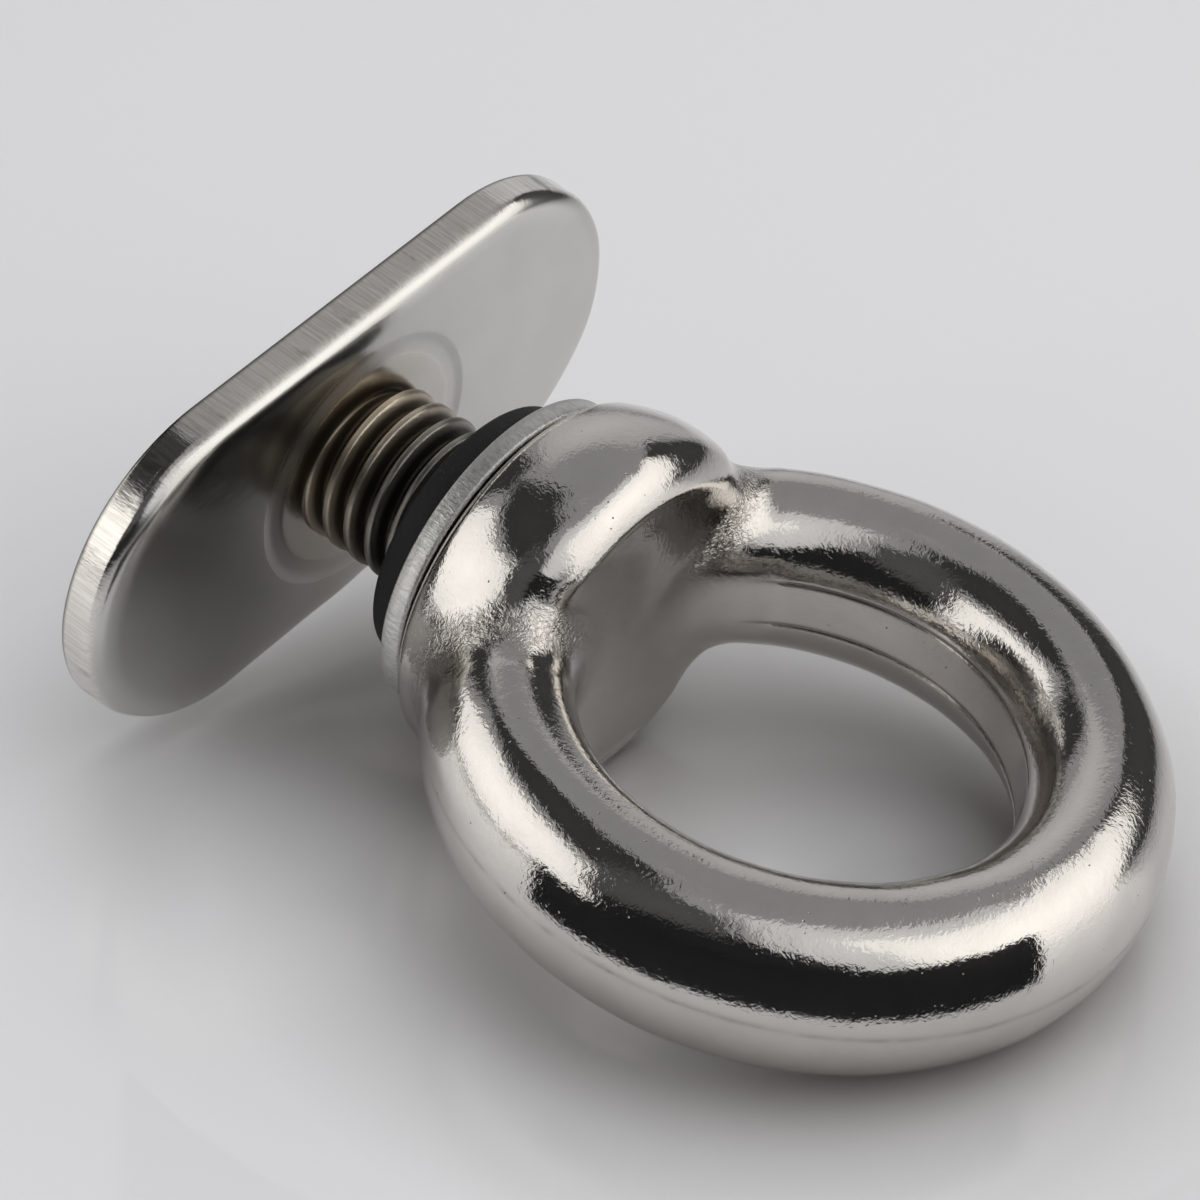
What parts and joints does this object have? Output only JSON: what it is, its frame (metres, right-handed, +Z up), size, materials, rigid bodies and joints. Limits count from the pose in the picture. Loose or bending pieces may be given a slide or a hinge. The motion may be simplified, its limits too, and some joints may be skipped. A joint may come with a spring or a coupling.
{
  "type": "track mount eye bolt",
  "caption": "Cast steel eye screwed onto a stud that stands on an obround track plate, with a steel washer and a rubber washer below it.",
  "frame": {"origin": "middle of the track plate's back, where it rests on the track's floor", "axes": "+Z up the stud towards the eye, +X along the plate and the track, +Y across the track"},
  "size_m": [0.0338, 0.0182, 0.0437],
  "materials": {
    "cast_steel": "polished",
    "washer_steel": "satin",
    "thread_steel": "satin",
    "plate_steel": "polished",
    "rubber": "satin"
  },
  "bodies": {
    "track_bolt": {"track_plate": "plate_steel", "threaded_stud": "thread_steel"},
    "washers": {"rubber_washer": "rubber", "steel_washer": "washer_steel"},
    "eye_body": {"eye": "cast_steel"}
  },
  "joints": [
    {"name": "eye_lift", "type": "slide", "parent": "track_bolt", "child": "washers", "axis": [0, 0, 1], "range_m": [-0.00125, 0.0025]},
    {"name": "eye_screw", "type": "hinge", "parent": "washers", "child": "eye_body", "pos_m": [0, 0, 0.013], "axis": [0, 0, 1], "range_deg": [-360, 720]}
  ],
  "couplings": [
    {"joint": "eye_screw", "follows": "eye_lift", "rad_per_m": 5026.5}
  ]
}
